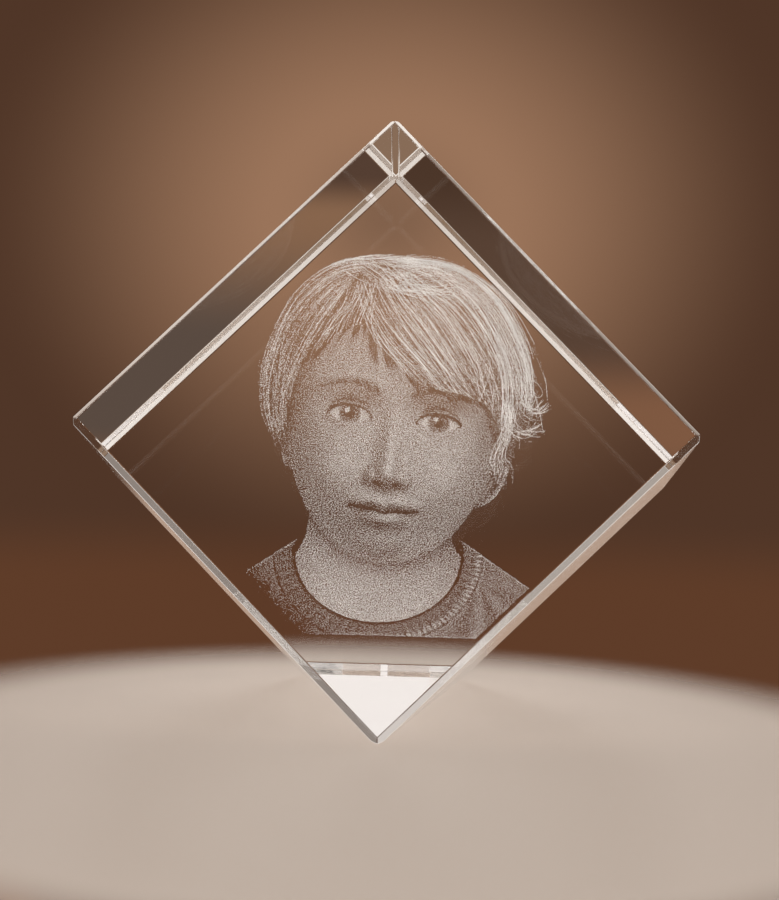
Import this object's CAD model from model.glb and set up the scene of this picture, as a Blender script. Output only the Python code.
import math

import bmesh
import bpy
import numpy as np
from mathutils import Matrix, Vector


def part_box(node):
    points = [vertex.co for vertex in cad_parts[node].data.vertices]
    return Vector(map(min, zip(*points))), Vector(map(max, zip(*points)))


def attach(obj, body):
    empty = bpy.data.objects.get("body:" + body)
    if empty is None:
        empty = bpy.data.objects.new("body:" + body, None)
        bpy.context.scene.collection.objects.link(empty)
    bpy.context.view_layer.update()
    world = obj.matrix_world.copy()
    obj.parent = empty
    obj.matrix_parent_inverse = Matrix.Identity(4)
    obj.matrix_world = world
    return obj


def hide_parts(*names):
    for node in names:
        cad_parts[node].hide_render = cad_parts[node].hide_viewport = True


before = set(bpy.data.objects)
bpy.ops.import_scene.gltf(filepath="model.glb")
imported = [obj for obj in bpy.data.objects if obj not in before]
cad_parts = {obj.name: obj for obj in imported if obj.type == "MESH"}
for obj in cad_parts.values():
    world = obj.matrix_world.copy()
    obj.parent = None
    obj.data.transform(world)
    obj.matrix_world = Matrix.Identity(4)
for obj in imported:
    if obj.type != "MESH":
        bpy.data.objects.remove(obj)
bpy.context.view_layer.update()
scene = bpy.context.scene

# The block is one piece of clear optical glass, sawn to a cube, with one corner cut off flat as its foot.
# Each face and each narrow chamfer along the edges is ground flat and polished. Nothing is fastened to it.

CUBE_SIDE = 0.060
CORNER_CUT = 0.0171
FRONT_CHAMFER = 0.0005
UPPER_CHAMFER = 0.0007
LOWER_CHAMFER = 0.0009
POLISHED_EDGE = 0.00011
HALF_DIAGONAL = CUBE_SIDE / math.sqrt(2.0)
LEAN = math.atan2(CORNER_CUT / math.sqrt(2.0), CUBE_SIDE)
REFRACTIVE_INDEX = 1.517
DULLEST_POLISH = 0.0025
POLISH_PATCHES = 70.0
LIGHT_LET_THROUGH = 0.72


def grind(bm, point, normal):
    """Take off what lies beyond a plane and leave a flat polished face there."""
    geometry = bm.verts[:] + bm.edges[:] + bm.faces[:]
    cut = bmesh.ops.bisect_plane(
        bm, geom=geometry, dist=1e-7, plane_co=point, plane_no=normal, clear_outer=True
    )
    rim = [piece for piece in cut["geom_cut"] if isinstance(piece, bmesh.types.BMEdge)]
    bmesh.ops.contextual_create(bm, geom=rim)


def chamfer_at(middle):
    """Each chamfer is ground by hand: finest on the front's upper edges, widest low down and at the foot."""
    if middle.z < -LOWER_CHAMFER:
        return LOWER_CHAMFER
    return FRONT_CHAMFER if middle.y < FRONT_CHAMFER else UPPER_CHAMFER


def grind_chamfers(bm):
    """Take off every edge, square to the mean of its two faces."""
    bm.normal_update()
    planes = []
    for edge in bm.edges:
        first, second = (face.normal for face in edge.link_faces)
        outward = (first + second).normalized()
        middle = (edge.verts[0].co + edge.verts[1].co) / 2.0
        setback = chamfer_at(middle) * math.sin(first.angle(second) / 2.0)
        planes.append((middle - outward * setback, outward))
    for point, outward in planes:
        grind(bm, point, outward)


def polish_edges(bm):
    """Round off the fine edges that the polishing wheel takes, and leave the faces flat."""
    rounded = bmesh.ops.bevel(
        bm, geom=bm.edges[:], affect="EDGES", offset=POLISHED_EDGE, segments=3, profile=0.5, material=-1
    )
    for face in rounded["faces"]:
        face.smooth = True


def seat_on_foot(bm, node):
    """How the block leans onto its foot and stands where the frame's block stands, as a matrix."""
    lean = Matrix.Rotation(-LEAN, 4, "X")
    corners = np.array([lean @ vert.co for vert in bm.verts])
    low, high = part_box(node)
    middle = (low + high) / 2.0 - Vector((corners.min(0) + corners.max(0)) / 2.0)
    return Matrix.Translation((middle.x, middle.y, low.z - corners[:, 2].min())) @ lean


def add_piece(name, mesh, node, surface):
    """Put a finished mesh in the scene, in place of its node."""
    piece = bpy.data.objects.new(name, mesh)
    scene.collection.objects.link(piece)
    mesh.materials.append(surface)
    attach(piece, "root")
    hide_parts(node)


def polished_glass(name):
    """Clear glass with a pale shadow, whose polish is a shade finer in one place than in the next."""
    made = bpy.data.materials.new(name)
    made.use_nodes = True
    nodes, links = made.node_tree.nodes, made.node_tree.links
    glass = nodes["Principled BSDF"]
    glass.inputs["Base Color"].default_value = (1.0, 1.0, 1.0, 1.0)
    glass.inputs["Metallic"].default_value = 0.0
    glass.inputs["IOR"].default_value = REFRACTIVE_INDEX
    glass.inputs["Transmission Weight"].default_value = 1.0
    coords = nodes.new("ShaderNodeTexCoord")
    wear = nodes.new("ShaderNodeTexNoise")
    wear.inputs["Scale"].default_value = POLISH_PATCHES
    wear.inputs["Detail"].default_value = 4.0
    polish = nodes.new("ShaderNodeMapRange")
    polish.inputs["From Min"].default_value = 0.45
    polish.inputs["From Max"].default_value = 0.75
    polish.inputs["To Max"].default_value = DULLEST_POLISH
    links.new(coords.outputs["Object"], wear.inputs["Vector"])
    links.new(wear.outputs["Fac"], polish.inputs["Value"])
    links.new(polish.outputs[0], glass.inputs["Roughness"])
    path = nodes.new("ShaderNodeLightPath")
    clear = nodes.new("ShaderNodeBsdfTransparent")
    clear.inputs["Color"].default_value = (LIGHT_LET_THROUGH, LIGHT_LET_THROUGH, LIGHT_LET_THROUGH, 1.0)
    mix = nodes.new("ShaderNodeMixShader")
    links.new(path.outputs["Is Shadow Ray"], mix.inputs[0])
    links.new(glass.outputs[0], mix.inputs[1])
    links.new(clear.outputs[0], mix.inputs[2])
    links.new(mix.outputs[0], nodes["Material Output"].inputs["Surface"])
    return made


bm = bmesh.new()
bmesh.ops.create_cube(bm, size=CUBE_SIDE)
on_corner = Matrix.Translation((0.0, CUBE_SIDE / 2.0, 0.0)) @ Matrix.Rotation(math.radians(45.0), 4, "Y")
bmesh.ops.transform(bm, matrix=on_corner, verts=bm.verts)
grind(bm, Vector((0.0, 0.0, -HALF_DIAGONAL)), Vector((0.0, math.sin(LEAN), -math.cos(LEAN))))
grind_chamfers(bm)
bmesh.ops.recalc_face_normals(bm, faces=bm.faces)
seat = seat_on_foot(bm, "glass_cube")
polish_edges(bm)
bmesh.ops.transform(bm, matrix=seat, verts=bm.verts)
block = bpy.data.meshes.new("glass_block")
bm.to_mesh(block)
bm.free()
add_piece("glass_block", block, "glass_cube", polished_glass("clear_glass"))

# The head is a cloud of tiny white cracks that a laser makes inside the glass, point by point, over a low
# relief. Where the skin is bright the points lie close together, and a dark place has none. Sizes on the
# portrait are in drawn millimetres.

DRAWN_UNIT = 0.001005
RELIEF_DEPTH = 0.015
RELIEF_BACK = (CUBE_SIDE + RELIEF_DEPTH) / 2.0
RELIEF_BASE = 2.0
ENGRAVED_LAYER = (0.0001, 0.0008)
GRAIN = 0.000097
GRAIN_PITCH = 0.076
GRAIN_ROW = 256
GRAIN_GAP = 4.0
FLECK_RADIUS = 0.58
FLECK_HEIGHT = 0.82

HEAD_HEIGHT = 41.0
HEAD_WIDTH = 31.0
HEAD_TILT = math.radians(5.0)
CHIN = np.array((-0.8, -16.2))
HEAD_SIDE = np.array((math.cos(HEAD_TILT), -math.sin(HEAD_TILT)))
HEAD_TOP = np.array((math.sin(HEAD_TILT), math.cos(HEAD_TILT)))
EGG = 0.13
EYE_LINE = 0.48 * HEAD_HEIGHT
NOSE_BASE = 0.25 * HEAD_HEIGHT
MOUTH_LINE = 0.165 * HEAD_HEIGHT
EYE_OFFSET = HEAD_WIDTH / 5.0
HALF_EYE = 3.05
IRIS = 1.47
PUPIL = 0.62
HALF_MOUTH = 4.9
EAR_LEVEL = (EYE_LINE + NOSE_BASE) / 2.0 - 1.5
JAW_CORNER = 8.2
COLLAR_CENTRE = CHIN + (0.0, 1.2)
COLLAR_REACH = np.array((11.5, 9.5))
NECK_RISE = 4.6
SKULL_RISE = 9.4


def soft_step(distance, softness):
    """Rises softly from zero to one as the distance turns positive."""
    return 1.0 / (1.0 + np.exp(-np.clip(distance / softness, -40.0, 40.0)))


def ridge(distance, width):
    """One along a line, falling away softly on both sides of it."""
    return np.exp(-((distance / width) ** 2))


def mound(across, up, centre, reach):
    """One at a place, falling away softly all round it."""
    return ridge(across - centre[0], reach[0]) * ridge(up - centre[1], reach[1])


def uneven(u, v, seed):
    """Smooth random values between zero and one, a new one at each whole step of u and v."""
    cell_u, cell_v = np.floor(u), np.floor(v)
    part_u, part_v = u - cell_u, v - cell_v
    ease_u, ease_v = (part * part * (3.0 - 2.0 * part) for part in (part_u, part_v))

    def corner(du, dv):
        mixed = np.sin((cell_u + du) * 127.1 + (cell_v + dv) * 311.7 + seed * 74.7) * 43758.5453
        return mixed - np.floor(mixed)

    low = corner(0, 0) * (1.0 - ease_u) + corner(1, 0) * ease_u
    high = corner(0, 1) * (1.0 - ease_u) + corner(1, 1) * ease_u
    return low * (1.0 - ease_v) + high * ease_v


def from_head(places):
    """Places in the leaning head's own directions from the chin, as places on the portrait."""
    return CHIN + places[..., :1] * HEAD_SIDE + places[..., 1:] * HEAD_TOP


def to_head(x, z):
    """Places on the portrait, as places in the leaning head's own directions from the chin."""
    away_x, away_z = x - CHIN[0], z - CHIN[1]
    return away_x * HEAD_SIDE[0] + away_z * HEAD_SIDE[1], away_x * HEAD_TOP[0] + away_z * HEAD_TOP[1]


def along_curve(corners, shares):
    """Places along a smooth curve through its corners, at these shares of its length."""
    corners = np.asarray(corners)
    last = len(corners) - 1
    run = np.clip(shares, 0.0, 0.9999) * last
    index = run.astype(int)
    t = (run - index)[..., None]
    before, start = corners[np.maximum(index - 1, 0)], corners[index]
    end, after = corners[np.minimum(index + 1, last)], corners[np.minimum(index + 2, last)]
    bend = (before * 2.0 - start * 5.0 + end * 4.0 - after) * t**2
    turn = (start * 3.0 - before - end * 3.0 + after) * t**3
    return (start * 2.0 + (end - before) * t + bend + turn) / 2.0


def depth_inside(loop, x, z):
    """How far each place lies inside a closed outline, and less than zero outside it."""
    places = np.stack([x, z], -1)
    nearest = np.full(x.shape, np.inf)
    crossings = np.zeros(x.shape, int)
    for start, end in zip(loop, np.roll(loop, -1, 0)):
        along = end - start
        share = np.clip(((places - start) @ along) / (along @ along), 0.0, 1.0)
        off = places - start - share[..., None] * along
        nearest = np.minimum(nearest, (off * off).sum(-1))
        if along[1] != 0.0:
            meets = start[0] + (z - start[1]) / along[1] * along[0]
            crossings += ((start[1] > z) != (end[1] > z)) & (x < meets)
    return np.sqrt(nearest) * np.where(crossings % 2 == 1, 1.0, -1.0)


def even_spots(low, high, pitch, seed):
    """Places spread evenly over a box, with a threshold each. Nine neighbours get nine different ones."""
    rng = np.random.default_rng(seed)
    columns, rows = (3 * int((high[k] - low[k]) / pitch / 3.0) for k in (0, 1))
    i, j = (side.ravel() for side in np.meshgrid(np.arange(columns), np.arange(rows)))
    x = low[0] + (i + 0.5 * (j % 2) + rng.uniform(0.15, 0.85, len(i))) * pitch
    z = low[1] + (j + rng.uniform(0.15, 0.85, len(i))) * pitch
    ranks = rng.permuted(np.tile(np.arange(9), (columns * rows // 9, 1)), axis=1)
    rank = ranks[(j // 3) * (columns // 3) + i // 3, (j % 3) * 3 + i % 3]
    return x, z, (rank + rng.random(len(i))) / 9.0


def half_width(up):
    """Half the head's width at a height above the chin."""
    rise = np.clip(2.0 * up / HEAD_HEIGHT - 1.0, -1.0, 1.0)
    return HEAD_WIDTH / 2.0 * (1.0 - rise**2) ** 0.425 * (1.0 + EGG * rise)


def head_outline():
    """The egg of the head, from the chin round both sides to the crown."""
    up = HEAD_HEIGHT * (1.0 - np.cos(np.linspace(0.0, math.pi, 46))) / 2.0
    right = np.stack([half_width(up), up], -1)
    left = np.stack([-half_width(up), up], -1)[-2:0:-1]
    return from_head(np.concatenate([right, left]))


def skull(across, up, height, power):
    """Heights of the bare skull, which rounds off to nothing at the head's edge."""
    rise = np.clip(2.0 * up / HEAD_HEIGHT - 1.0, -1.0, 1.0)
    width = HEAD_WIDTH / 2.0 * (1.0 + EGG * rise)
    radius = (np.abs(across / width) ** 2.3 + np.abs(rise) ** 2.3) ** (1.0 / 2.3)
    return height * np.clip(1.0 - np.minimum(radius, 1.0) ** 2.5, 0.0, 1.0) ** power


def features(across, up):
    """Heights of the eyes, nose, cheeks, lips and chin over the skull."""
    side = np.abs(across)
    sockets = -1.4 * mound(side, up, (EYE_OFFSET - 0.7, EYE_LINE + 0.6), (3.5, 2.4))
    balls = 1.1 * mound(side, up, (EYE_OFFSET, EYE_LINE), (2.5, 1.8))
    brows = 0.7 * mound(side, up, (EYE_OFFSET, EYE_LINE + 3.8), (4.6, 1.6))
    cheeks = 1.2 * mound(side, up, (8.0, NOSE_BASE + 1.4), (4.4, 4.6))
    root = EYE_LINE + 2.5
    growth = np.clip((root - up) / (root - NOSE_BASE - 1.0), 0.0, 1.0)
    bridge = 2.0 * growth**1.25 * ridge(across, 1.25 + 0.75 * growth**1.5)
    bridge = bridge * soft_step(up - NOSE_BASE - 0.1 - 0.05 * across**2, 0.6)
    tip = 0.7 * mound(across, up, (0.0, NOSE_BASE + 1.7), (1.7, 1.4))
    wings = 0.6 * mound(side, up, (2.45, NOSE_BASE + 1.1), (0.95, 1.0))
    upper_lip = 0.5 * mound(side, up, (1.2, MOUTH_LINE + 1.1), (2.8, 0.9))
    lower_lip = 0.75 * mound(across, up, (0.0, MOUTH_LINE - 1.1), (3.0, 1.0))
    muzzle = 0.9 * mound(across, up, (0.0, MOUTH_LINE + 0.4), (5.0, 3.4))
    under_lip = -0.2 * mound(across, up, (0.0, MOUTH_LINE - 3.0), (3.0, 0.9))
    chin = 0.8 * mound(across, up, (0.0, 3.0), (3.8, 2.4))
    upper_face = sockets + balls + brows + cheeks + bridge + tip + wings
    return upper_face + upper_lip + lower_lip + muzzle + under_lip + chin


def lit(across, up, lamp):
    """How brightly a lamp in this direction lights the face."""
    step = 0.12

    def height(a, b):
        return skull(a, b, 6.0, 0.8) + 1.15 * features(a, b)

    slope_a = (height(across + step, up) - height(across - step, up)) / (2.0 * step)
    slope_b = (height(across, up + step) - height(across, up - step)) / (2.0 * step)
    steepness = np.sqrt((1.0 + slope_a**2 + slope_b**2) * sum(side * side for side in lamp))
    return np.clip((lamp[2] - slope_a * lamp[0] - slope_b * lamp[1]) / steepness, 0.0, 1.0)


def with_eye(tone, across, up, side):
    """Draw one open eye into the skin: crease, lids, white, iris, pupil, glint and lashes."""
    u = (across - side * EYE_OFFSET) / HALF_EYE
    out = u * side
    v = up - EYE_LINE - 0.14 * out
    bow = np.clip(1.0 - np.clip(np.abs(u), 0.0, 1.0) ** 2.2, 0.0, 1.0)
    top = 1.36 * bow**0.62 * (1.0 - 0.10 * out)
    bottom = -0.95 * bow**0.8 * (1.0 + 0.12 * out)
    within = np.abs(u) < 1.0
    over_crease = v - top - 0.62 - 0.2 * bow
    crease_ends = np.clip(1.15 - np.abs(u) ** 4, 0.0, 1.0) * (np.abs(u) < 1.15)
    tone = tone - 0.24 * ridge(over_crease, 0.24) * crease_ends
    tone = tone - 0.07 * ridge(over_crease, 0.9) * np.exp(-((u / 1.1) ** 4))
    tone = tone - 0.06 * ridge(v - bottom + 0.95, 0.4) * np.exp(-((u / 0.9) ** 4))
    off_a, off_b = across - side * EYE_OFFSET, up - EYE_LINE - 0.12
    radius = np.hypot(off_a, off_b)
    iris = 0.10 + 0.20 * soft_step(-off_b, 0.5) * soft_step(radius - 0.75, 0.15)
    iris = iris - 0.12 * soft_step(radius - 1.28, 0.07)
    ball = 0.92 - 0.36 * np.abs(u) ** 3
    ball = ball + (iris - ball) * soft_step(IRIS - radius, 0.07)
    ball = ball * (1.0 - soft_step(PUPIL - radius, 0.07)) * (0.55 + 0.45 * soft_step(top - v - 0.36, 0.16))
    ball = ball + (1.0 - ball) * soft_step(0.30 - np.hypot(off_a + 0.42, off_b - 0.50), 0.06)
    tone = tone + (ball - tone) * soft_step(np.minimum(top - v, v - bottom), 0.07) * within
    lash_width = 0.20 + 0.12 * np.clip(out, 0.0, 1.0)
    lash_line = soft_step(lash_width - np.abs(v - top - 0.04), 0.06) * (np.abs(u) < 1.04)
    fan = uneven(u * 16.0 + v * (1.2 * side + 2.0 * u), side, 5) > 0.45
    lashes = fan * soft_step(0.55 + 0.25 * out - (v - top), 0.08)
    lashes = lashes * (v > top) * (np.abs(u) < 1.05) * (out > -0.6)
    tone = tone * (1.0 - 0.97 * lash_line) * (1.0 - 0.38 * lashes) - 0.14 * ridge(v - bottom, 0.15) * within
    return tone - 0.14 * mound(across, up, (side * (EYE_OFFSET - 3.0), EYE_LINE - 0.25), (0.45, 0.35))


def with_brow(tone, across, up, side):
    """Draw one eyebrow as a soft arch of short strokes."""
    out = side * across
    share = np.clip((out - 2.4) / 8.0, 0.0, 1.0)
    off = up - EYE_LINE - 3.5 - 1.15 * np.sin(math.pi * share**0.8 * 0.80) + 0.5 * share**3
    thick = 0.80 * (1.0 - 0.70 * share**1.5) * np.clip((out - 1.9) / 1.2, 0.0, 1.0) ** 0.5
    strokes = uneven(out * 3.2 - off * (2.4 - 3.2 * share), off * 0.9 + 3.0, 11 + side)
    body = ridge(off, np.maximum(thick, 0.05) * 1.05)
    body = body * soft_step(10.6 - out, 0.25) * soft_step(out - 2.2, 0.3)
    return tone * (1.0 - np.clip(body * (0.52 + 0.5 * strokes), 0.0, 0.90))


def with_nose(tone, across, up):
    """Draw the nostrils, the shadow under the nose, its wings, tip and bridge."""
    side = np.abs(across)
    nostrils = 0.36 * ridge(side - 1.3, 0.66) * ridge(up - NOSE_BASE - 0.25 - 0.2 * (side - 1.3), 0.30)
    under = 0.08 * mound(across, up, (0.0, NOSE_BASE - 0.5), (2.6, 0.8))
    round_wing = np.hypot((side - 2.1) / 1.15, (up - NOSE_BASE - 1.05) / 1.35)
    wings = 0.12 * ridge(round_wing - 1.0, 0.18) * soft_step(side - 2.3, 0.2)
    tip = 0.18 * mound(across, up, (-0.1, NOSE_BASE + 2.0), (0.9, 1.0))
    bridge = 0.10 * mound(across, up, (0.0, NOSE_BASE + 5.5), (0.7, 3.4))
    return tone - nostrils - under - wings + tip + bridge


def with_mouth(tone, across, up):
    """Draw closed lips at rest."""
    share = np.clip(np.abs(across) / HALF_MOUTH, 0.0, 1.0)
    line = MOUTH_LINE + 0.024 * across**2 - 0.16 * ridge(across, 0.9)
    line = line + 0.10 * ridge(np.abs(across) - 1.6, 1.1)
    bow = 1.25 * (1.0 - share**2) ** 0.75 - 0.36 * ridge(across, 0.75)
    bow = bow + 0.10 * ridge(np.abs(across) - 1.1, 0.6)
    low = 1.70 * (1.0 - share**2.4) ** 0.7
    above, below = up - line, line - up
    upper = soft_step(np.minimum(above, bow - above), 0.12) * (share < 1.0)
    lower = soft_step(np.minimum(below, low - below), 0.16) * (share < 1.0)
    tone = tone - 0.17 * upper - 0.09 * lower
    tone = tone + 0.14 * mound(across, up, (0.3, MOUTH_LINE - 0.95), (2.0, 0.4))
    tone = tone - 0.10 * ridge(below - low - 0.35, 0.5) * (share < 0.75) * (1.0 - share**2)
    seam = 0.36 * ridge(above, 0.18) * (1.0 - share**6)
    shade = 0.10 * ridge(above, 0.5) * (share < 1.0) * (1.0 - share**4)
    corners = 0.16 * mound(np.abs(across), up, (HALF_MOUTH - 0.1, MOUTH_LINE + 0.55), (0.6, 0.4))
    return tone - seam - shade - corners + 0.05 * ridge(above - bow - 0.2, 0.2) * (share < 0.8)


def face_tone(across, up):
    """Brightness of the face, lit softly from in front and more strongly from above its left."""
    high_light = lit(across, up, (0.34, 0.36, 1.0)) ** 2.4
    tone = 0.17 + 0.40 * high_light + 0.09 * lit(across, up, (0.0, 0.05, 1.0)) ** 4
    jaw = half_width(up) - np.abs(across)
    tone = tone + 0.10 * ridge(jaw - 1.6, 1.6) * soft_step(9.0 - up, 1.5)
    tone = tone + 0.10 * mound(across, up, (0.6, 2.8), (4.5, 2.2))
    tone = tone + 0.09 * mound(np.abs(across), up, (7.6, NOSE_BASE + 1.8), (3.4, 2.8))
    tone = tone + 0.05 * mound(across, up, (1.0, EYE_LINE + 9.0), (6.5, 4.0))
    tone = with_mouth(with_nose(tone, across, up), across, up)
    for side in (-1, 1):
        tone = with_eye(with_brow(tone, across, up, side), across, up, side)
    return tone


def ear_stand(across, up):
    """How far an ear stands out past the cheek, from its lobe up. The hair lies close over the left one."""
    stand = np.where(across < 0.0, 1.0, 2.2)
    lobe = NOSE_BASE + np.where(across < 0.0, 1.6, -0.9)
    return stand * np.exp(-(((up - EAR_LEVEL) / 4.4) ** 4)) * soft_step(up - lobe, 0.22)


def ear_tone(across, up):
    """The ear's hollow and the crease where it meets the cheek, with a bright rim on the right one."""
    past_cheek = np.abs(across) - half_width(up)
    stand = ear_stand(across, up)
    rim = 0.14 * ridge(past_cheek - stand + 0.35, 0.25) * (across > 0.0)
    return 0.40 + rim - 0.24 * ridge(past_cheek - 0.5 * stand, 0.35) - 0.22 * ridge(past_cheek, 0.3)


def neck_tone(x, z, head_in):
    """The neck under the shadow of the jaw."""
    from_side = np.clip(np.abs(x - COLLAR_CENTRE[0]) / COLLAR_REACH[0], 0.0, 1.0)
    jaw_shadow = 0.50 * np.exp(-np.maximum(-head_in, 0.0) / 2.3)
    throat = 0.07 * mound(x, z, COLLAR_CENTRE - (0.0, 6.6), (1.8, 1.2))
    return 0.69 - 0.24 * from_side**4 - jaw_shadow - throat


def fringe_shadow(across, up, hair_in):
    """Shadow and thin strands where the hair ends over the forehead."""
    away_a, away_b = across - PARTING[0], PARTING[1] - up
    away = np.hypot(away_a, away_b)
    streaks = uneven(np.arctan2(away_a, away_b) * 26.0 + 0.12 * away, away * 0.22, 41)
    near = np.exp(-np.maximum(-hair_in, 0.0) / 1.5) * soft_step(up - 17.0, 1.5)
    return near * (0.05 + 0.28 * streaks)


def tufts(across, up, head_in):
    """How far the hair's edge reaches down the forehead, or falls short, each way from the parting."""
    away_a, away_b = across - PARTING[0], PARTING[1] - up
    away = np.hypot(away_a, away_b)
    reach = uneven(np.arctan2(away_a, away_b) * 15.0 + 0.05 * away, away * 0.10, 43)
    return 3.0 * (reach - 0.35) * soft_step(up - 18.0, 1.5) * soft_step(head_in - 1.0, 0.5)


def head_height(x, z):
    """Height of the face, ears and neck over the plane that the relief rises from."""
    across, up = to_head(x, z)
    from_middle = np.minimum(np.abs(x - COLLAR_CENTRE[0]) / (COLLAR_REACH[0] + 0.5), 0.9)
    neck = NECK_RISE * np.sqrt(1.0 - from_middle**2)
    ears = 1.4 * ridge(np.abs(across) - half_width(up) - 1.2, 1.0) * ear_stand(across, up) / 2.2
    return RELIEF_BASE + np.maximum(skull(across, up, SKULL_RISE, 0.5) + features(across, up), neck) + ears


DEPTH_UNIT = RELIEF_DEPTH / head_height(*from_head(np.array((0.0, NOSE_BASE + 0.8))))


def grain_cloud(name, x, z, height, size, seed):
    """One mesh of many four-faced flecks, each turned its own way, in a thin layer behind the relief."""
    rng = np.random.default_rng(seed)
    depth = RELIEF_BACK - height * DEPTH_UNIT + rng.uniform(*ENGRAVED_LAYER, len(x))
    centres = np.stack([x * DRAWN_UNIT, depth, z * DRAWN_UNIT], -1) @ np.array(seat.to_3x3()).T
    centres += np.array(seat.translation)
    bm = bmesh.new()
    bmesh.ops.create_cone(
        bm, cap_ends=True, segments=3, radius1=FLECK_RADIUS, radius2=0.0, depth=FLECK_HEIGHT
    )
    count = 1
    while count < len(x):
        copies = bmesh.ops.duplicate(bm, geom=bm.verts[:] + bm.edges[:] + bm.faces[:])["geom"]
        verts = [piece for piece in copies if isinstance(piece, bmesh.types.BMVert)]
        along_row = count < GRAIN_ROW
        step = GRAIN_GAP * (count if along_row else count // GRAIN_ROW)
        bmesh.ops.translate(bm, vec=(step, 0.0, 0.0) if along_row else (0.0, step, 0.0), verts=verts)
        count *= 2
    spare = [
        vert for vert in bm.verts
        if round(vert.co.x / GRAIN_GAP) + GRAIN_ROW * round(vert.co.y / GRAIN_GAP) >= len(x)
    ]
    bmesh.ops.delete(bm, geom=spare, context="VERTS")
    for face in bm.faces:
        face.smooth = True
    mesh = bpy.data.meshes.new(name)
    bm.to_mesh(mesh)
    bm.free()
    corners = np.empty(len(mesh.vertices) * 3)
    mesh.vertices.foreach_get("co", corners)
    corners = corners.reshape(-1, 3)
    cell = np.round(corners[:, :2] / GRAIN_GAP)
    number = (cell[:, 0] + GRAIN_ROW * cell[:, 1]).astype(int)
    corners[:, :2] -= cell * GRAIN_GAP
    frames, _ = np.linalg.qr(rng.normal(size=(len(x), 3, 3)))
    frames[:, :, 0] *= np.linalg.det(frames)[:, None]
    turned = np.einsum("nij,nj->ni", frames[number], corners)
    sizes = size * rng.uniform(0.8, 1.2, len(x))
    mesh.vertices.foreach_set("co", (centres[number] + turned * sizes[number, None]).ravel())
    mesh.update()
    return mesh


def frosted(name, pale, dull, patch):
    """The white of a fractured point, a little duller from one patch of the cloud to the next."""
    made = bpy.data.materials.new(name)
    made.use_nodes = True
    nodes, links = made.node_tree.nodes, made.node_tree.links
    shader = nodes["Principled BSDF"]
    shader.inputs["Metallic"].default_value = 0.0
    shader.inputs["Roughness"].default_value = 0.85
    coords = nodes.new("ShaderNodeTexCoord")
    noise = nodes.new("ShaderNodeTexNoise")
    noise.inputs["Scale"].default_value = patch
    noise.inputs["Detail"].default_value = 3.0
    ramp = nodes.new("ShaderNodeValToRGB")
    ramp.color_ramp.elements[0].position = 0.32
    ramp.color_ramp.elements[0].color = (*dull, 1.0)
    ramp.color_ramp.elements[1].position = 0.62
    ramp.color_ramp.elements[1].color = (*pale, 1.0)
    links.new(coords.outputs["Object"], noise.inputs["Vector"])
    links.new(noise.outputs["Fac"], ramp.inputs["Fac"])
    links.new(ramp.outputs["Color"], shader.inputs["Base Color"])
    return made


HAIR_EDGE = (
    (-0.47, 0.33), (-0.48, 0.45), (-0.45, 0.62), (-0.34, 0.72), (-0.20, 0.79), (-0.07, 0.70),
    (0.10, 0.61), (0.30, 0.59), (0.43, 0.55), (0.46, 0.42), (0.46, 0.28), (0.52, 0.33),
    (0.57, 0.45), (0.66, 0.54), (0.64, 0.61), (0.57, 0.75), (0.43, 0.93), (0.20, 1.04),
    (-0.09, 1.04), (-0.36, 0.99), (-0.55, 0.82), (-0.63, 0.58), (-0.56, 0.41), (-0.47, 0.33),
)
PARTING = np.array((-0.19 * HEAD_WIDTH, 0.93 * HEAD_HEIGHT))

x, z, threshold = even_spots((-22.0, -27.0), (22.0, 27.0), GRAIN_PITCH, 1)
hair_corners = np.array(HAIR_EDGE) * (HEAD_WIDTH, HEAD_HEIGHT)
hair_edge = from_head(along_curve(hair_corners, np.linspace(0.0, 1.0, 93)[:-1]))
head_in = depth_inside(head_outline(), x, z)
across, up = to_head(x, z)
hair_in = depth_inside(hair_edge, x, z) + tufts(across, up, head_in)
beside_throat = x - COLLAR_CENTRE[0]
over_collar = z - COLLAR_CENTRE[1]
in_collar = np.hypot(beside_throat / COLLAR_REACH[0], over_collar / COLLAR_REACH[1]) < 1.0
neck_half = 9.6 + 1.9 * np.exp(-np.maximum(over_collar, 0.0) / 2.2)
in_neck = np.where(over_collar < 0.0, in_collar, np.abs(beside_throat) < neck_half) & (up < JAW_CORNER)
in_ear = (np.abs(across) - half_width(up) < ear_stand(across, up)) & (up > JAW_CORNER)
bare = soft_step(0.1 - hair_in, 0.15)
face = face_tone(across, up) - fringe_shadow(across, up, hair_in)
below_face = np.where(in_ear, ear_tone(across, up), neck_tone(x, z, head_in))
zones = (
    ("engraved_face_left", (head_in > 0.0) & (across < 0.0), face),
    ("engraved_face_right", (head_in > 0.0) & (across >= 0.0), face),
    ("engraved_neck", (head_in <= 0.0) & (in_neck | in_ear), below_face),
)
skin = frosted("frosted_skin", (0.96, 0.95, 0.94), (0.86, 0.85, 0.84), 900.0)
for name, inside, tone in zones:
    kept = inside & (hair_in < 0.6) & (tone * bare > threshold)
    cloud = grain_cloud(name, x[kept], z[kept], head_height(x[kept], z[kept]), GRAIN, 11)
    add_piece(name, cloud, "engraved_head", skin)

# The hair is engraved strand by strand in the same white cracks. Short hair falls from a high parting,
# across the forehead to the right and down both sides, with a flick over the right ear. Bright strands lie
# over a darker, sparser layer.

STRAND_GRAIN = 0.000100
UNDER_GRAIN = 0.000085
STRAND_PITCH = 0.075
PLACES_ALONG = 260
STRAND_LIGHTS = (1.35, 0.45, 0.08)
LIGHT_SHARES = (0.38, 0.24, 0.38)
STRAYS = (0.5, 1.5, 3.0)
STRAY_SHARES = (0.55, 0.30, 0.15)
LOOSE_ENDS = 0.4
FLICK_ENDS = 1.4
FLICK_START = 14.0
UNDER_STRANDS = 0.3

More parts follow.
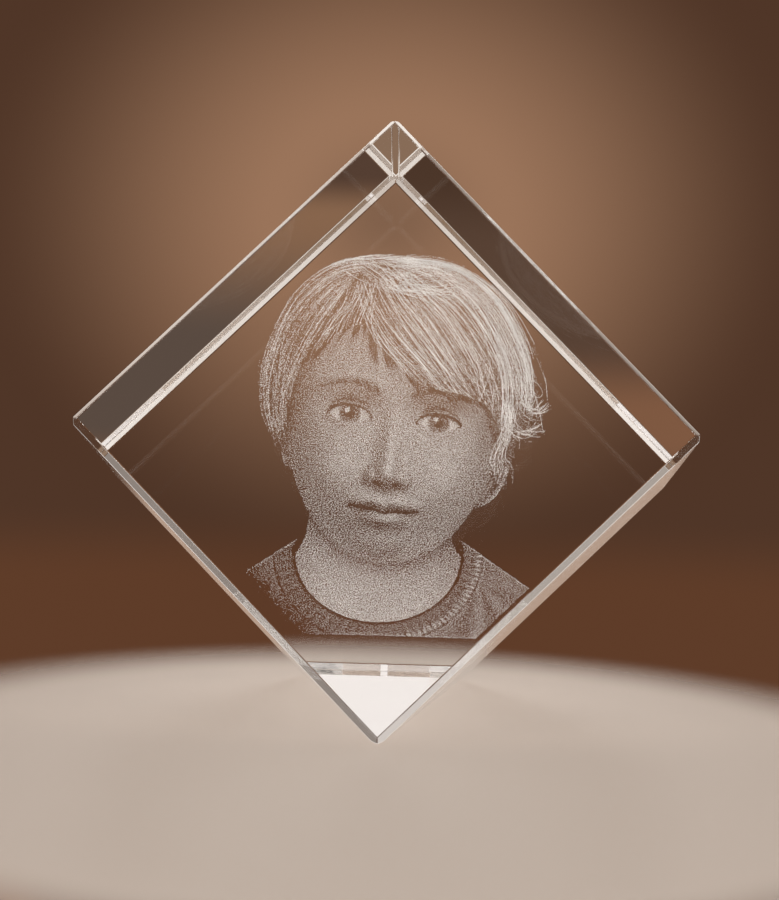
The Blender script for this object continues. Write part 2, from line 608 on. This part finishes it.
# Each lock has its number of strands, its number of clumps, how bright it is, and the lines that guide its
# strands from root to tip, in shares of the head's width and height from the chin.
LOCKS = {
    "left": (150, 12, 0.64, [
        [(-0.12, 1.02), (-0.31, 1.02), (-0.50, 0.91), (-0.61, 0.68), (-0.60, 0.50), (-0.54, 0.40)],
        [(-0.17, 0.99), (-0.34, 0.95), (-0.50, 0.80), (-0.57, 0.61), (-0.56, 0.46), (-0.50, 0.35)],
        [(-0.24, 0.96), (-0.35, 0.87), (-0.45, 0.73), (-0.51, 0.58), (-0.51, 0.45), (-0.475, 0.34)],
        [(-0.28, 0.92), (-0.33, 0.82), (-0.41, 0.70), (-0.47, 0.57), (-0.49, 0.46), (-0.475, 0.37)],
    ]),
    "middle": (80, 9, 0.72, [
        [(-0.29, 0.93), (-0.30, 0.85), (-0.35, 0.79), (-0.40, 0.72), (-0.44, 0.66), (-0.46, 0.60)],
        [(-0.20, 0.96), (-0.22, 0.87), (-0.26, 0.80), (-0.28, 0.75), (-0.30, 0.71), (-0.31, 0.67)],
        [(-0.12, 0.94), (-0.13, 0.85), (-0.11, 0.77), (-0.06, 0.71), (-0.01, 0.66), (0.04, 0.62)],
    ]),
    "crown": (170, 15, 0.84, [
        [(-0.34, 0.99), (-0.24, 0.95), (-0.12, 0.93), (0.00, 0.97), (0.10, 1.00), (0.18, 1.00)],
        [(-0.26, 1.02), (-0.16, 0.97), (-0.06, 0.92), (0.06, 0.92), (0.16, 0.90), (0.25, 0.86)],
        [(-0.12, 1.03), (-0.05, 0.98), (0.03, 0.93), (0.12, 0.93), (0.22, 0.95), (0.31, 0.92)],
        [(-0.38, 0.98), (-0.28, 1.01), (-0.17, 1.025), (-0.05, 1.03), (0.08, 1.03), (0.20, 1.02)],
        [(-0.42, 0.97), (-0.31, 1.01), (-0.19, 1.035), (-0.06, 1.045), (0.08, 1.045), (0.21, 1.035)],
    ]),
    "fringe": (236, 16, 1.30, [
        [(-0.24, 0.92), (-0.18, 0.82), (-0.09, 0.73), (0.02, 0.66), (0.10, 0.61), (0.19, 0.58)],
        [(-0.17, 0.96), (-0.10, 0.86), (0.01, 0.76), (0.13, 0.67), (0.23, 0.60), (0.33, 0.57)],
        [(-0.10, 0.99), (-0.01, 0.91), (0.12, 0.81), (0.26, 0.69), (0.36, 0.60), (0.42, 0.54)],
        [(-0.04, 1.00), (0.07, 0.95), (0.23, 0.86), (0.37, 0.73), (0.43, 0.61), (0.46, 0.50)],
    ]),
    "right": (206, 14, 1.16, [
        [(-0.08, 1.00), (0.08, 0.97), (0.26, 0.88), (0.42, 0.73), (0.47, 0.60), (0.49, 0.47)],
        [(-0.10, 1.01), (0.13, 1.00), (0.33, 0.90), (0.48, 0.73), (0.53, 0.60), (0.53, 0.50)],
        [(-0.12, 1.015), (0.17, 1.02), (0.375, 0.93), (0.53, 0.76), (0.575, 0.64), (0.58, 0.56)],
        [(-0.14, 1.03), (0.16, 1.04), (0.395, 0.955), (0.55, 0.79), (0.60, 0.68), (0.61, 0.61)],
    ]),
    "side": (60, 7, 0.80, [
        [(0.45, 0.62), (0.475, 0.54), (0.47, 0.46), (0.445, 0.38), (0.46, 0.32), (0.455, 0.27)],
        [(0.49, 0.60), (0.51, 0.53), (0.50, 0.46), (0.475, 0.39), (0.50, 0.34), (0.49, 0.30)],
        [(0.52, 0.57), (0.53, 0.51), (0.52, 0.46), (0.50, 0.41), (0.52, 0.37), (0.50, 0.34)],
    ]),
    "upper tuft": (46, 3, 1.05, [
        [(0.50, 0.66), (0.53, 0.60), (0.565, 0.565), (0.60, 0.555), (0.63, 0.57), (0.66, 0.60)],
        [(0.54, 0.70), (0.56, 0.63), (0.585, 0.59), (0.61, 0.575), (0.635, 0.585), (0.67, 0.62)],
    ]),
    "lower tuft": (46, 3, 1.00, [
        [(0.47, 0.57), (0.50, 0.50), (0.54, 0.475), (0.58, 0.475), (0.615, 0.49), (0.65, 0.515)],
        [(0.50, 0.62), (0.53, 0.54), (0.565, 0.51), (0.60, 0.50), (0.63, 0.51), (0.665, 0.535)],
    ]),
}
SIDES = {
    "engraved_hair_left": ("left", "middle", "crown"),
    "engraved_hair_right": ("fringe", "right", "side", "upper tuft", "lower tuft"),
}


def shine(lock, share, position):
    """How brightly a lock catches the light from root to tip."""
    if lock == "left":
        highlights = 0.42 + 0.60 * ridge(share - 0.20, 0.14) + 0.18 * ridge(share - 0.62, 0.16)
        return highlights * (1.0 - 0.40 * position)
    if lock == "fringe":
        return (0.45 + 0.55 * ridge(share - 0.48, 0.22)) * (0.75 + 0.3 * position)
    if lock == "right":
        return 0.66 + 0.42 * ridge(share - 0.55, 0.28)
    return 0.85


def strand(rng, guides, position, middle):
    """Grains along one strand, which starts between two guides and gathers towards the tip of its lock."""
    starts = rng.uniform(0.0, 0.08) if rng.random() < 0.55 else rng.uniform(0.1, 0.6)
    ends = min(1.0, starts + rng.uniform(0.35, 1.0))
    shares = np.linspace(starts, ends, PLACES_ALONG)
    gather = rng.uniform(0.2, 0.8) * np.clip((shares - 0.15) / 0.85, 0.0, 1.0) ** 1.3
    row = np.clip(position + (middle - position) * gather, 0.0, 0.9999) * (len(guides) - 1)
    low = row.astype(int)
    part = (row - low)[:, None]
    curves = np.stack([along_curve(guide, shares) for guide in guides])
    order = np.arange(len(shares))
    spots = curves[low, order] * (1.0 - part) + curves[low + 1, order] * part
    sideways = np.gradient(spots, axis=0) @ np.array(((0.0, 1.0), (-1.0, 0.0)))
    sideways /= np.linalg.norm(sideways, axis=1, keepdims=True)
    wave = rng.uniform(0.05, 0.30) * np.sin(shares * rng.uniform(4.0, 11.0) + rng.uniform(0.0, 6.28))
    stray = rng.choice(STRAYS, p=STRAY_SHARES)
    drift = rng.normal(0.0, stray) * (shares - starts) + rng.normal(0.0, stray) * (shares - starts) ** 2
    spots = spots + sideways * (wave + drift + rng.normal(0.0, 0.18))[:, None]
    run = np.concatenate([[0.0], np.cumsum(np.linalg.norm(np.diff(spots, axis=0), axis=1))])
    grains = np.arange(0.0, run[-1], STRAND_PITCH)
    place = np.stack([np.interp(grains, run, spots[:, axis]) for axis in (0, 1)], -1)
    share = np.interp(grains, run, shares)
    taper = np.clip(np.minimum(share - starts + 0.02, ends - share) / 0.10, 0.0, 1.0) ** 0.7
    return place, share, taper


def lock_grains(rng, lock):
    """Grains of every strand in one family of locks."""
    count, clumps, level, guides = LOCKS[lock]
    guides = np.array(guides) * (HEAD_WIDTH, HEAD_HEIGHT)
    lock_light = rng.uniform(0.50, 1.15, clumps)
    places = []
    for number in range(count):
        position = (number + rng.random()) / count
        middle = (math.floor(position * clumps) + 0.5) / clumps
        place, share, taper = strand(rng, guides, position, middle)
        off_middle = abs(position - middle) * clumps * 2.0
        bright = level * rng.choice(STRAND_LIGHTS, p=LIGHT_SHARES) * (1.0 - 0.5 * off_middle**2)
        bright = bright * lock_light[int(position * clumps)] * shine(lock, share, position) * taper
        kept = rng.random(len(place)) < bright
        places.append(place[kept] + rng.normal(0.0, 0.018, (kept.sum(), 2)))
    return np.concatenate(places)


def hair_height(x, z):
    """Height of the cap of hair over the plane that the relief rises from."""
    across, up = to_head(x, z)
    round_head = HEAD_WIDTH / 2.0 + 6.5, HEAD_HEIGHT / 2.0 + 2.0
    radius = np.hypot(across / round_head[0], (up - 0.56 * HEAD_HEIGHT) / round_head[1])
    cap = 12.4 * np.sqrt(np.clip(1.0 - np.minimum(radius, 1.0) ** 2.5, 0.0, 1.0))
    return RELIEF_BASE + cap


def under_layer(x, z, hair_in):
    """The dark layer under the strands, a little brighter where the hair mounds towards the light."""
    across, up = to_head(x, z)
    a, b = across / HEAD_WIDTH, up / HEAD_HEIGHT
    tone = 0.12 + 0.12 * mound(a, b, (0.26, 0.90), (0.22, 0.14))
    tone = tone + 0.16 * mound(a, b, (0.47, 0.70), (0.16, 0.20))
    tone = tone + 0.04 * mound(a, b, (-0.30, 0.97), (0.20, 0.06))
    tone = tone - 0.08 * mound(a, b, (-0.42, 0.70), (0.16, 0.22))
    return tone * 0.95 * (0.40 + 1.2 * uneven(x * 1.1, z * 1.1, 31)) * soft_step(hair_in - 0.3, 0.2)


hair = frosted("frosted_hair", (0.97, 0.96, 0.95), (0.80, 0.79, 0.78), 500.0)
rng = np.random.default_rng(4)
for name, locks in SIDES.items():
    grains = np.concatenate([lock_grains(rng, lock) for lock in locks])
    spots = from_head(grains)
    loose = np.where(spots[:, 0] > FLICK_START, FLICK_ENDS, LOOSE_ENDS)
    spots = spots[depth_inside(hair_edge, *spots.T) > -loose]
    cloud = grain_cloud(name, *spots.T, hair_height(*spots.T), STRAND_GRAIN, 12)
    add_piece(name, cloud, "engraved_hair", hair)
kept = (hair_in > -0.1) & (under_layer(x, z, hair_in) > threshold)
under_height = hair_height(x[kept], z[kept]) - UNDER_STRANDS
cloud = grain_cloud("engraved_hair_under", x[kept], z[kept], under_height, UNDER_GRAIN, 13)
add_piece("engraved_hair_under", cloud, "engraved_hair", hair)

# The shirt is a plain crew neck with a ribbed band and stitched seams, engraved more sparsely than the skin.
# It ends in a straight hem, thins out at the left shoulder and folds at the right one.

SHIRT_LEFT = COLLAR_CENTRE + (-18.4, -2.9)
SHIRT_RIGHT = COLLAR_CENTRE + (21.1, -4.1)
HEM = COLLAR_CENTRE[1] - 11.4
CLOTH_GRAIN = 0.000085
LEFT_SEAM = COLLAR_CENTRE + COLLAR_REACH * (-0.985, 0.174)
RIGHT_SEAM = COLLAR_CENTRE + COLLAR_REACH * (0.970, 0.242)
BAND_WIDTH = 2.75
RIBS_ROUND = 66.0
STITCHES_ROUND = 116.0
CHEST_RISE = 4.6


def under_line(x, z, start, end):
    """How far each place lies below a line that runs from left to right."""
    along = (end - start) / np.hypot(*(end - start))
    return (x - start[0]) * along[1] - (z - start[1]) * along[0]


def past_collar(x, z):
    """How far each place lies outside the collar's edge, and its direction from the collar's middle."""
    u, v = (x - COLLAR_CENTRE[0]) / COLLAR_REACH[0], (z - COLLAR_CENTRE[1]) / COLLAR_REACH[1]
    reach = np.maximum(np.hypot(u, v), 1e-6)
    slope = np.hypot(u / COLLAR_REACH[0], v / COLLAR_REACH[1]) / reach
    return (reach - 1.0) / slope, np.arctan2(v, u)


def shirt_tone(x, z, shoulder):
    """Ribbed band, stitched seam, woven cloth with folds, and bright outlines."""
    off, angle = past_collar(x, z)
    away = x - COLLAR_CENTRE[0]
    right = soft_step(away + 1.0, 3.0)
    ribs = 0.08 * np.cos(angle * RIBS_ROUND) * soft_step(off - 0.6, 0.15)
    band = 0.24 + 0.06 * right + ribs
    fold_x, fold_z = x - 13.2, -18.4 - z
    fan = np.sin(np.arctan2(fold_x, np.maximum(fold_z, 0.01)) * 9.0 + 1.2)
    folds = 0.17 * fan * soft_step(fold_z - 1.0, 0.8) * ridge(fold_x - 0.5, 4.2)
    cloth = 0.24 + 0.12 * right + 0.10 * uneven(x * 2.6, z * 2.6, 51) + folds
    stitches = soft_step(np.cos(angle * STITCHES_ROUND), 0.25) * soft_step(away + 3.0, 2.0)
    stitches = stitches * ridge(off - 2.50, 0.42)
    seam = 0.14 * (0.4 + right) * ridge(off - 3.35, 0.16) - 0.25 * ridge(off - 3.0, 0.16)
    tone = (np.where(off < BAND_WIDTH, band, cloth) + 0.80 * stitches + seam) * soft_step(off - 0.42, 0.06)
    outline = 0.45 * ridge(shoulder - 0.08, 0.09)
    outline = outline + 0.35 * ridge(z - HEM - 0.12, 0.12) * soft_step(x + 8.0, 1.5)
    past_left = (x - SHIRT_LEFT[0]) + (z - SHIRT_LEFT[1])
    return (tone + outline) * 0.8 * soft_step(past_left - 0.8 - 1.6 * uneven(x * 0.8, z * 0.8, 7), 0.9)


def shirt_height(x, z):
    """Height of the chest and the thicker ribbed band over the plane that the relief rises from."""
    off, angle = past_collar(x, z)
    chest = CHEST_RISE * np.sqrt(np.clip(1.0 - ((x - COLLAR_CENTRE[0]) / 25.0) ** 2, 0.0, 1.0))
    return RELIEF_BASE + chest + (1.2 + 0.2 * np.cos(angle * 40.0)) * soft_step(3.0 - off, 0.25)


shoulder = np.where(
    x < COLLAR_CENTRE[0], under_line(x, z, SHIRT_LEFT, LEFT_SEAM), under_line(x, z, RIGHT_SEAM, SHIRT_RIGHT)
)
kept = (shoulder > 0.0) & ~in_collar & (z > HEM)
kept &= (x + z > SHIRT_LEFT.sum()) & (x - z < SHIRT_RIGHT[0] - SHIRT_RIGHT[1])
kept &= shirt_tone(x, z, shoulder) > threshold
cloth_height = shirt_height(x[kept], z[kept])
cloud = grain_cloud("engraved_shirt_cloth", x[kept], z[kept], cloth_height, CLOTH_GRAIN, 14)
cloth = frosted("frosted_cloth", (0.94, 0.93, 0.92), (0.74, 0.73, 0.72), 1400.0)
add_piece("engraved_shirt_cloth", cloud, "engraved_shirt", cloth)

# The camera stands in front of the block, a little above its middle, with a long lens.

SENSOR = 36.0
LENS = 125.56
CAMERA_PLACE = (0.00376, -0.44746, 0.07303)
CAMERA_TURN = (85.311, -1.561, 0.571)

camera = bpy.data.cameras.new("camera")
camera.sensor_fit = "VERTICAL"
camera.sensor_height = SENSOR
camera.sensor_width = SENSOR
camera.lens = LENS
view = bpy.data.objects.new("camera", camera)
view.location = CAMERA_PLACE
view.rotation_euler = [math.radians(turn) for turn in CAMERA_TURN]
scene.collection.objects.link(view)
scene.camera = view

# The floor is a plain pale disc, solid round the block, whose rim fades into the backdrop.

FLOOR_REACH = 0.45
FLOOR_COLOUR = (0.43, 0.36, 0.31)
FLOOR_ROUGHNESS = 0.50
FLOOR_SHEEN = 0.19
SOLID_MIDDLE = -0.05
SOLID_SCALE = (11.5, 9.0, 9.0)
FADED_RIM = 0.28

bm = bmesh.new()
bmesh.ops.create_circle(bm, cap_ends=True, segments=96, radius=FLOOR_REACH)
disc = bpy.data.meshes.new("floor")
bm.to_mesh(disc)
bm.free()
floor = bpy.data.objects.new("floor", disc)
scene.collection.objects.link(floor)
made = bpy.data.materials.new("floor")
made.use_nodes = True
nodes, links = made.node_tree.nodes, made.node_tree.links
shader = nodes["Principled BSDF"]
shader.inputs["Base Color"].default_value = (*FLOOR_COLOUR, 1.0)
shader.inputs["Roughness"].default_value = FLOOR_ROUGHNESS
shader.inputs["Specular IOR Level"].default_value = FLOOR_SHEEN
coords = nodes.new("ShaderNodeTexCoord")
mapping = nodes.new("ShaderNodeMapping")
mapping.inputs["Location"].default_value = (0.0, -SOLID_MIDDLE * SOLID_SCALE[1], 0.0)
mapping.inputs["Scale"].default_value = SOLID_SCALE
links.new(coords.outputs["Object"], mapping.inputs["Vector"])
pool = nodes.new("ShaderNodeTexGradient")
pool.gradient_type = "SPHERICAL"
links.new(mapping.outputs[0], pool.inputs["Vector"])
ramp = nodes.new("ShaderNodeValToRGB")
ramp.color_ramp.elements[0].position = 0.0
ramp.color_ramp.elements[1].position = FADED_RIM
ramp.color_ramp.interpolation = "EASE"
links.new(pool.outputs["Fac"], ramp.inputs["Fac"])
mix = nodes.new("ShaderNodeMixShader")
clear = nodes.new("ShaderNodeBsdfTransparent")
links.new(ramp.outputs["Color"], mix.inputs[0])
links.new(clear.outputs[0], mix.inputs[1])
links.new(shader.outputs[0], mix.inputs[2])
links.new(mix.outputs[0], nodes["Material Output"].inputs["Surface"])
disc.materials.append(made)

# The backdrop is plain brown paper, lighter behind the block. White, grey and brown boards stand above,
# below and beside it, outside the camera's view, where the foot, the faces and the chamfers show them. The
# room behind the camera is dark, and the light on the object is a plain warm white.

WARM_WHITE = (1.0, 0.95, 0.90)
SOFT_LIGHT = 0.35
GLOW_CENTRE = (-0.0098, -0.0066)
GLOW_REACH = (0.135, 0.115)
DARK_PAPER = (0.080, 0.037, 0.021)
LIT_PAPER = (0.355, 0.193, 0.113)
GLOW_MIDDLE = (0.235, 0.128, 0.076)
LOW_PAPER = (0.114, 0.046, 0.022)
SIDE_PAPER = (0.20, 0.115, 0.07)
PAPER_BELOW = (0.255, 0.157, 0.101)
LEFT_CARD_INSIDE = (0.225, 0.106, 0.057)
LEFT_CARD = (0.102, 0.057, 0.037)
LEFT_CARD_OUTSIDE = (0.068, 0.035, 0.021)
RIGHT_CARD_INSIDE = (0.107, 0.074, 0.057)
RIGHT_CARD = (0.260, 0.140, 0.079)
RIGHT_CARD_OUTSIDE = (0.088, 0.048, 0.032)
LOW_LEFT_BOARD = (0.29, 0.24, 0.20)
LOW_RIGHT_BOARD = (0.66, 0.57, 0.50)
WHITE_BELOW = (0.92, 0.84, 0.77)
FAR_LOW_BOARDS = (0.26, 0.17, 0.11)
HIGH_LEFT_BOARD = (0.42, 0.37, 0.33)
HIGH_RIGHT_BOARD = (0.27, 0.23, 0.205)
FAR_LEFT_BOARD = (0.66, 0.60, 0.56)
WHITE_ABOVE = (0.96, 0.89, 0.85)
WHITE_STRIPS = (0.96, 0.92, 0.88)
DARK_ROOM = (0.03, 0.018, 0.012)
MIRRORED_CARDS = (0.46, 0.32, 0.24)

world = bpy.data.worlds.new("studio")
scene.world = world
world.use_nodes = True
nodes, links = world.node_tree.nodes, world.node_tree.links
soft = nodes["Background"]
soft.inputs["Color"].default_value = (*WARM_WHITE, 1.0)
soft.inputs["Strength"].default_value = SOFT_LIGHT
coords = nodes.new("ShaderNodeTexCoord")
way = nodes.new("ShaderNodeSeparateXYZ")
links.new(coords.outputs["Generated"], way.inputs[0])
rightwards, ahead, upwards = (way.outputs[axis] for axis in "XYZ")


def rise(value, start, full):
    """A factor that rises softly from zero to one between two values."""
    made = nodes.new("ShaderNodeMapRange")
    made.interpolation_type = "SMOOTHSTEP"
    made.inputs["From Min"].default_value = start
    made.inputs["From Max"].default_value = full
    links.new(value, made.inputs["Value"])
    return made.outputs[0]


def combined(operation, first, second=None):
    """The result of arithmetic on one or two sockets."""
    made = nodes.new("ShaderNodeMath")
    made.operation = operation
    links.new(first, made.inputs[0])
    if second:
        links.new(second, made.inputs[1])
    return made.outputs[0]


def blended(factor, first, second):
    """One colour turning into another, each given as a socket or as plain numbers."""
    made = nodes.new("ShaderNodeMix")
    made.data_type = "RGBA"
    links.new(factor, made.inputs["Factor"])
    for socket, colour in (("A", first), ("B", second)):
        if isinstance(colour, tuple):
            made.inputs[socket].default_value = (*colour, 1.0)
        else:
            links.new(colour, made.inputs[socket])
    return made.outputs["Result"]


mapping = nodes.new("ShaderNodeMapping")
glow_shift = [-centre / reach for centre, reach in zip(GLOW_CENTRE, GLOW_REACH)]
mapping.inputs["Location"].default_value = (glow_shift[0], 0.0, glow_shift[1])
mapping.inputs["Scale"].default_value = (1.0 / GLOW_REACH[0], 0.0, 1.0 / GLOW_REACH[1])
links.new(coords.outputs["Generated"], mapping.inputs["Vector"])
glow = nodes.new("ShaderNodeTexGradient")
glow.gradient_type = "SPHERICAL"
links.new(mapping.outputs[0], glow.inputs["Vector"])

# The paper has a soft glow behind the block, is darker at its foot and plain at the sides and below.
paper = blended(rise(glow.outputs["Fac"], 0.0, 0.90), DARK_PAPER, LIT_PAPER)
paper = blended(rise(glow.outputs["Fac"], 0.68, 1.0), paper, GLOW_MIDDLE)
paper = blended(rise(upwards, -0.100, -0.125), paper, LOW_PAPER)
paper = blended(rise(ahead, 0.90, 0.80), paper, SIDE_PAPER)
paper = blended(rise(upwards, -0.21, -0.39), paper, PAPER_BELOW)

# Two brown cards low down to the left and right, which the block's upper faces mirror as dark bands.
sideways = combined("ABSOLUTE", rightwards)
left_card = blended(rise(rightwards, -0.180, -0.205), LEFT_CARD, LEFT_CARD_OUTSIDE)
left_card = blended(rise(rightwards, -0.153, -0.130), left_card, LEFT_CARD_INSIDE)
right_card = blended(rise(rightwards, 0.150, 0.189), RIGHT_CARD_INSIDE, RIGHT_CARD)
right_card = blended(rise(rightwards, 0.190, 0.203), right_card, RIGHT_CARD_OUTSIDE)
card = blended(rise(rightwards, -0.05, 0.05), left_card, right_card)
beside = combined("MULTIPLY", rise(sideways, 0.108, 0.122), rise(sideways, 0.250, 0.220))
below = combined("MULTIPLY", rise(upwards, -0.170, -0.190), rise(upwards, -0.325, -0.305))
cards = combined("MULTIPLY", combined("MULTIPLY", beside, below), rise(ahead, 0.85, 0.90))
paper = blended(cards, paper, card)

# Boards further down at both sides, with white below them and brown ones far out.
board = blended(rise(rightwards, -0.30, 0.30), LOW_LEFT_BOARD, LOW_RIGHT_BOARD)
low_sides = combined("MULTIPLY", rise(sideways, 0.20, 0.27), rise(upwards, -0.29, -0.34))
paper = blended(low_sides, paper, board)
paper = blended(rise(upwards, -0.41, -0.45), paper, WHITE_BELOW)
far_sides = combined("MULTIPLY", rise(sideways, 0.52, 0.62), rise(upwards, -0.20, -0.30))
paper = blended(far_sides, paper, FAR_LOW_BOARDS)

# Boards higher up at both sides, a paler one far out on the left, and white over them all.
board = blended(rise(rightwards, -0.30, 0.30), HIGH_LEFT_BOARD, HIGH_RIGHT_BOARD)
high_sides = combined("MULTIPLY", rise(sideways, 0.13, 0.20), rise(upwards, 0.06, 0.13))
paper = blended(high_sides, paper, board)
far_left = combined("MULTIPLY", rise(rightwards, -0.275, -0.300), rise(upwards, 0.200, 0.180))
far_left = combined("MULTIPLY", far_left, high_sides)
paper = blended(far_left, paper, FAR_LEFT_BOARD)
paper = blended(rise(upwards, 0.27, 0.34), paper, WHITE_ABOVE)

# Two short white strips beside the paper, and the dark room behind the camera.
strip = combined("MULTIPLY", rise(sideways, 0.120, 0.128), rise(sideways, 0.190, 0.180))
height = combined("MULTIPLY", rise(upwards, 0.070, 0.080), rise(upwards, 0.150, 0.140))
paper = blended(combined("MULTIPLY", strip, height), paper, WHITE_STRIPS)
room = combined("MULTIPLY", rise(ahead, -0.40, -0.70), rise(upwards, -0.02, 0.08))
paper = blended(room, paper, DARK_ROOM)

# What the faces mirror low down at the sides is paler than what shows through them.
path = nodes.new("ShaderNodeLightPath")
mirrored = combined("SUBTRACT", path.outputs["Is Glossy Ray"], path.outputs["Is Transmission Ray"])
aside = combined("MULTIPLY", rise(ahead, 0.92, 0.96), rise(sideways, 0.035, 0.055))
low = combined("MULTIPLY", rise(upwards, -0.100, -0.118), rise(upwards, -0.230, -0.200))
low_cards = combined("MULTIPLY", combined("MULTIPLY", mirrored, aside), low)
paper = blended(low_cards, paper, MIRRORED_CARDS)
wall = nodes.new("ShaderNodeBackground")
links.new(paper, wall.inputs["Color"])
seen = combined("MAXIMUM", path.outputs["Is Camera Ray"], path.outputs["Is Glossy Ray"])
seen = combined("MAXIMUM", seen, path.outputs["Is Transmission Ray"])
mix = nodes.new("ShaderNodeMixShader")
links.new(seen, mix.inputs[0])
links.new(soft.outputs[0], mix.inputs[1])
links.new(wall.outputs[0], mix.inputs[2])
links.new(mix.outputs[0], nodes["World Output"].inputs["Surface"])

# Three softboxes: one behind and above the block, and one at each side in front. They don't show through
# the glass.

LIT_PLACE = Vector((0.0, 0.0, 0.04))
BACK_PLACE = (0.0, 0.50, 0.265)
BACK_SIZE = (0.24, 0.20)
BACK_POWER = 0.5
FRONT_PLACES = {"left_light": (-0.50, -0.50, 0.20), "right_light": (0.50, -0.50, 0.20)}
FRONT_SIZE = (0.35, 0.45)
FRONT_POWER = 5.0


def softbox(name, place, size, power):
    """A rectangular lamp that faces the block."""
    lamp = bpy.data.lights.new(name, "AREA")
    lamp.shape = "RECTANGLE"
    lamp.size, lamp.size_y = size
    lamp.energy = power
    lamp.color = WARM_WHITE
    box = bpy.data.objects.new(name, lamp)
    box.location = place
    box.rotation_euler = (LIT_PLACE - Vector(place)).to_track_quat("-Z", "Y").to_euler()
    box.visible_camera = False
    box.visible_transmission = False
    scene.collection.objects.link(box)


softbox("back_light", BACK_PLACE, BACK_SIZE, BACK_POWER)
for name, place in FRONT_PLACES.items():
    softbox(name, place, FRONT_SIZE, FRONT_POWER)

# Light turns back many times inside the glass, so its path is allowed to be long.
scene.cycles.max_bounces = 24
scene.cycles.glossy_bounces = 16
scene.cycles.transmission_bounces = 20
scene.view_settings.view_transform = "Standard"
